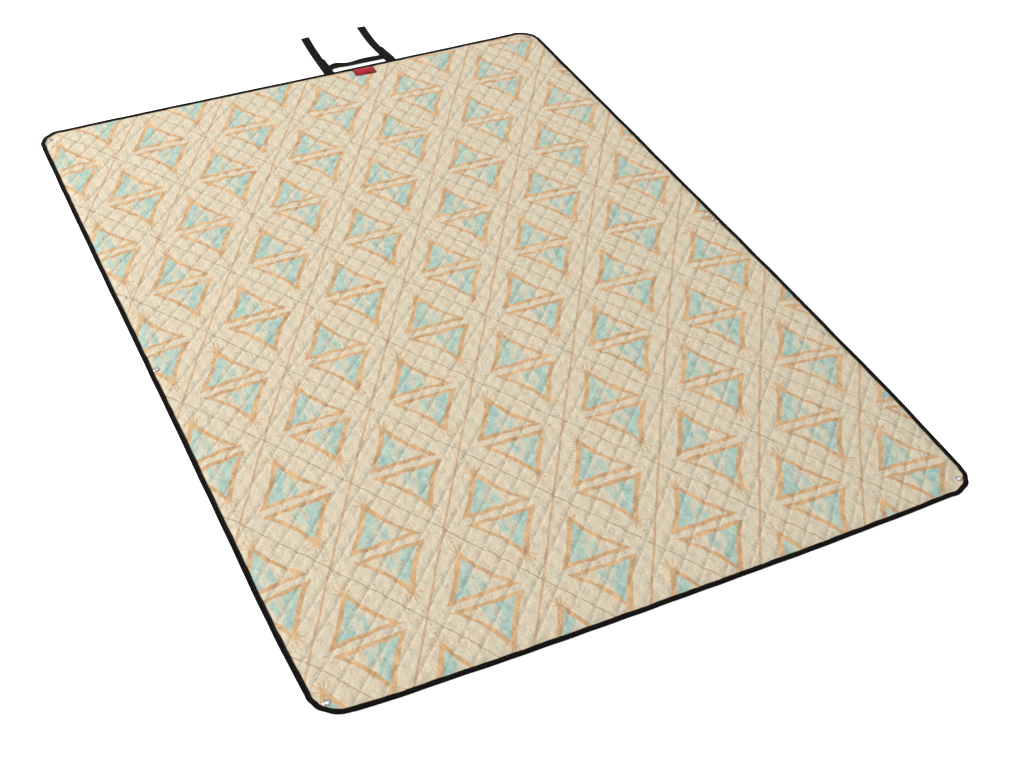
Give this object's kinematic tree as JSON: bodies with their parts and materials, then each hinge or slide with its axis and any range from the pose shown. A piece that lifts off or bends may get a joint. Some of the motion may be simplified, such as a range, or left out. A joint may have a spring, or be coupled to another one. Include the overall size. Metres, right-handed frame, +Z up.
{
  "type": "camp blanket",
  "caption": "Quilted camp blanket with bound edges, corner and side eyelets, carrying straps, a webbing handle and a sewn label, which folds lengthwise.",
  "frame": {"origin": "on the ground, under the middle of the blanket with its straps laid out", "axes": "+X across the blanket, +Y along it towards the carrying straps, +Z up"},
  "size_m": [1.45, 2.32, 0.0061],
  "materials": {
    "printed_cover": "printed woven polyester",
    "wadding": "fibre fill",
    "backing": "coated weave",
    "edge_tape": "ribbed tape",
    "webbing": "herringbone webbing",
    "fastener_tape": "hook and loop",
    "eyelet_metal": "nickel plate, satin",
    "label": "satin weave"
  },
  "bodies": {
    "right_inner": {"cover_right_inner": "printed_cover", "wadding_right_inner": "wadding", "backing_right_inner": "backing", "binding_right_inner_near": "edge_tape", "binding_right_inner_far": "edge_tape", "loop_patch_left": "fastener_tape", "loop_patch_right": "fastener_tape"},
    "left_inner": {"cover_left_inner": "printed_cover", "wadding_left_inner": "wadding", "backing_left_inner": "backing", "binding_left_inner_near": "edge_tape", "binding_left_inner_far": "edge_tape"},
    "left_outer": {"cover_left_outer": "printed_cover", "wadding_left_outer": "wadding", "backing_left_outer": "backing", "binding_left_outer": "edge_tape", "eyelet_near_left": "eyelet_metal", "washer_near_left": "eyelet_metal", "eyelet_middle_left": "eyelet_metal", "washer_middle_left": "eyelet_metal", "eyelet_far_left": "eyelet_metal", "washer_far_left": "eyelet_metal"},
    "right_outer": {"cover_right_outer": "printed_cover", "wadding_right_outer": "wadding", "backing_right_outer": "backing", "binding_right_outer": "edge_tape", "eyelet_near_right": "eyelet_metal", "washer_near_right": "eyelet_metal", "eyelet_middle_right": "eyelet_metal", "washer_middle_right": "eyelet_metal", "eyelet_far_right": "eyelet_metal", "washer_far_right": "eyelet_metal"},
    "label_flap": {"label": "label"},
    "harness": {"strap_base_left": "webbing", "strap_layer_left": "webbing", "strap_base_right": "webbing", "strap_layer_right": "webbing", "handle": "webbing"},
    "strap_left": {"strap_end_left": "webbing", "hook_tape_left": "fastener_tape"},
    "strap_right": {"strap_end_right": "webbing", "hook_tape_right": "fastener_tape"}
  },
  "joints": [
    {"name": "left_outer_fold", "type": "hinge", "parent": "left_inner", "child": "left_outer", "pos_m": [-0.3625, -0.11, 0.0075], "axis": [0, 1, 0], "range_deg": [0, 179.9]},
    {"name": "centre_fold", "type": "hinge", "parent": "right_inner", "child": "left_inner", "pos_m": [0, -0.11, 0.0165], "axis": [0, 1, 0], "range_deg": [0, 179.9]},
    {"name": "right_outer_fold", "type": "hinge", "parent": "right_inner", "child": "right_outer", "pos_m": [0.3625, -0.11, 0.0075], "axis": [0, -1, 0], "range_deg": [0, 179.9]},
    {"name": "harness_lift", "type": "hinge", "parent": "right_inner", "child": "harness", "pos_m": [0.185, 0.944, 0.0036], "axis": [1, 0, 0], "range_deg": [0, 90]},
    {"name": "left_strap_bend", "type": "hinge", "parent": "harness", "child": "strap_left", "pos_m": [0.0924, 1.02, 0.0036], "axis": [1, 0, 0], "range_deg": [0, 100]},
    {"name": "right_strap_bend", "type": "hinge", "parent": "harness", "child": "strap_right", "pos_m": [0.27, 1.02, 0.0036], "axis": [1, 0, 0], "range_deg": [0, 100]},
    {"name": "label_lift", "type": "hinge", "parent": "right_inner", "child": "label_flap", "pos_m": [0.185, 0.9287, 0.0059], "axis": [1, 0, 0], "range_deg": [-150, 0]}
  ]
}
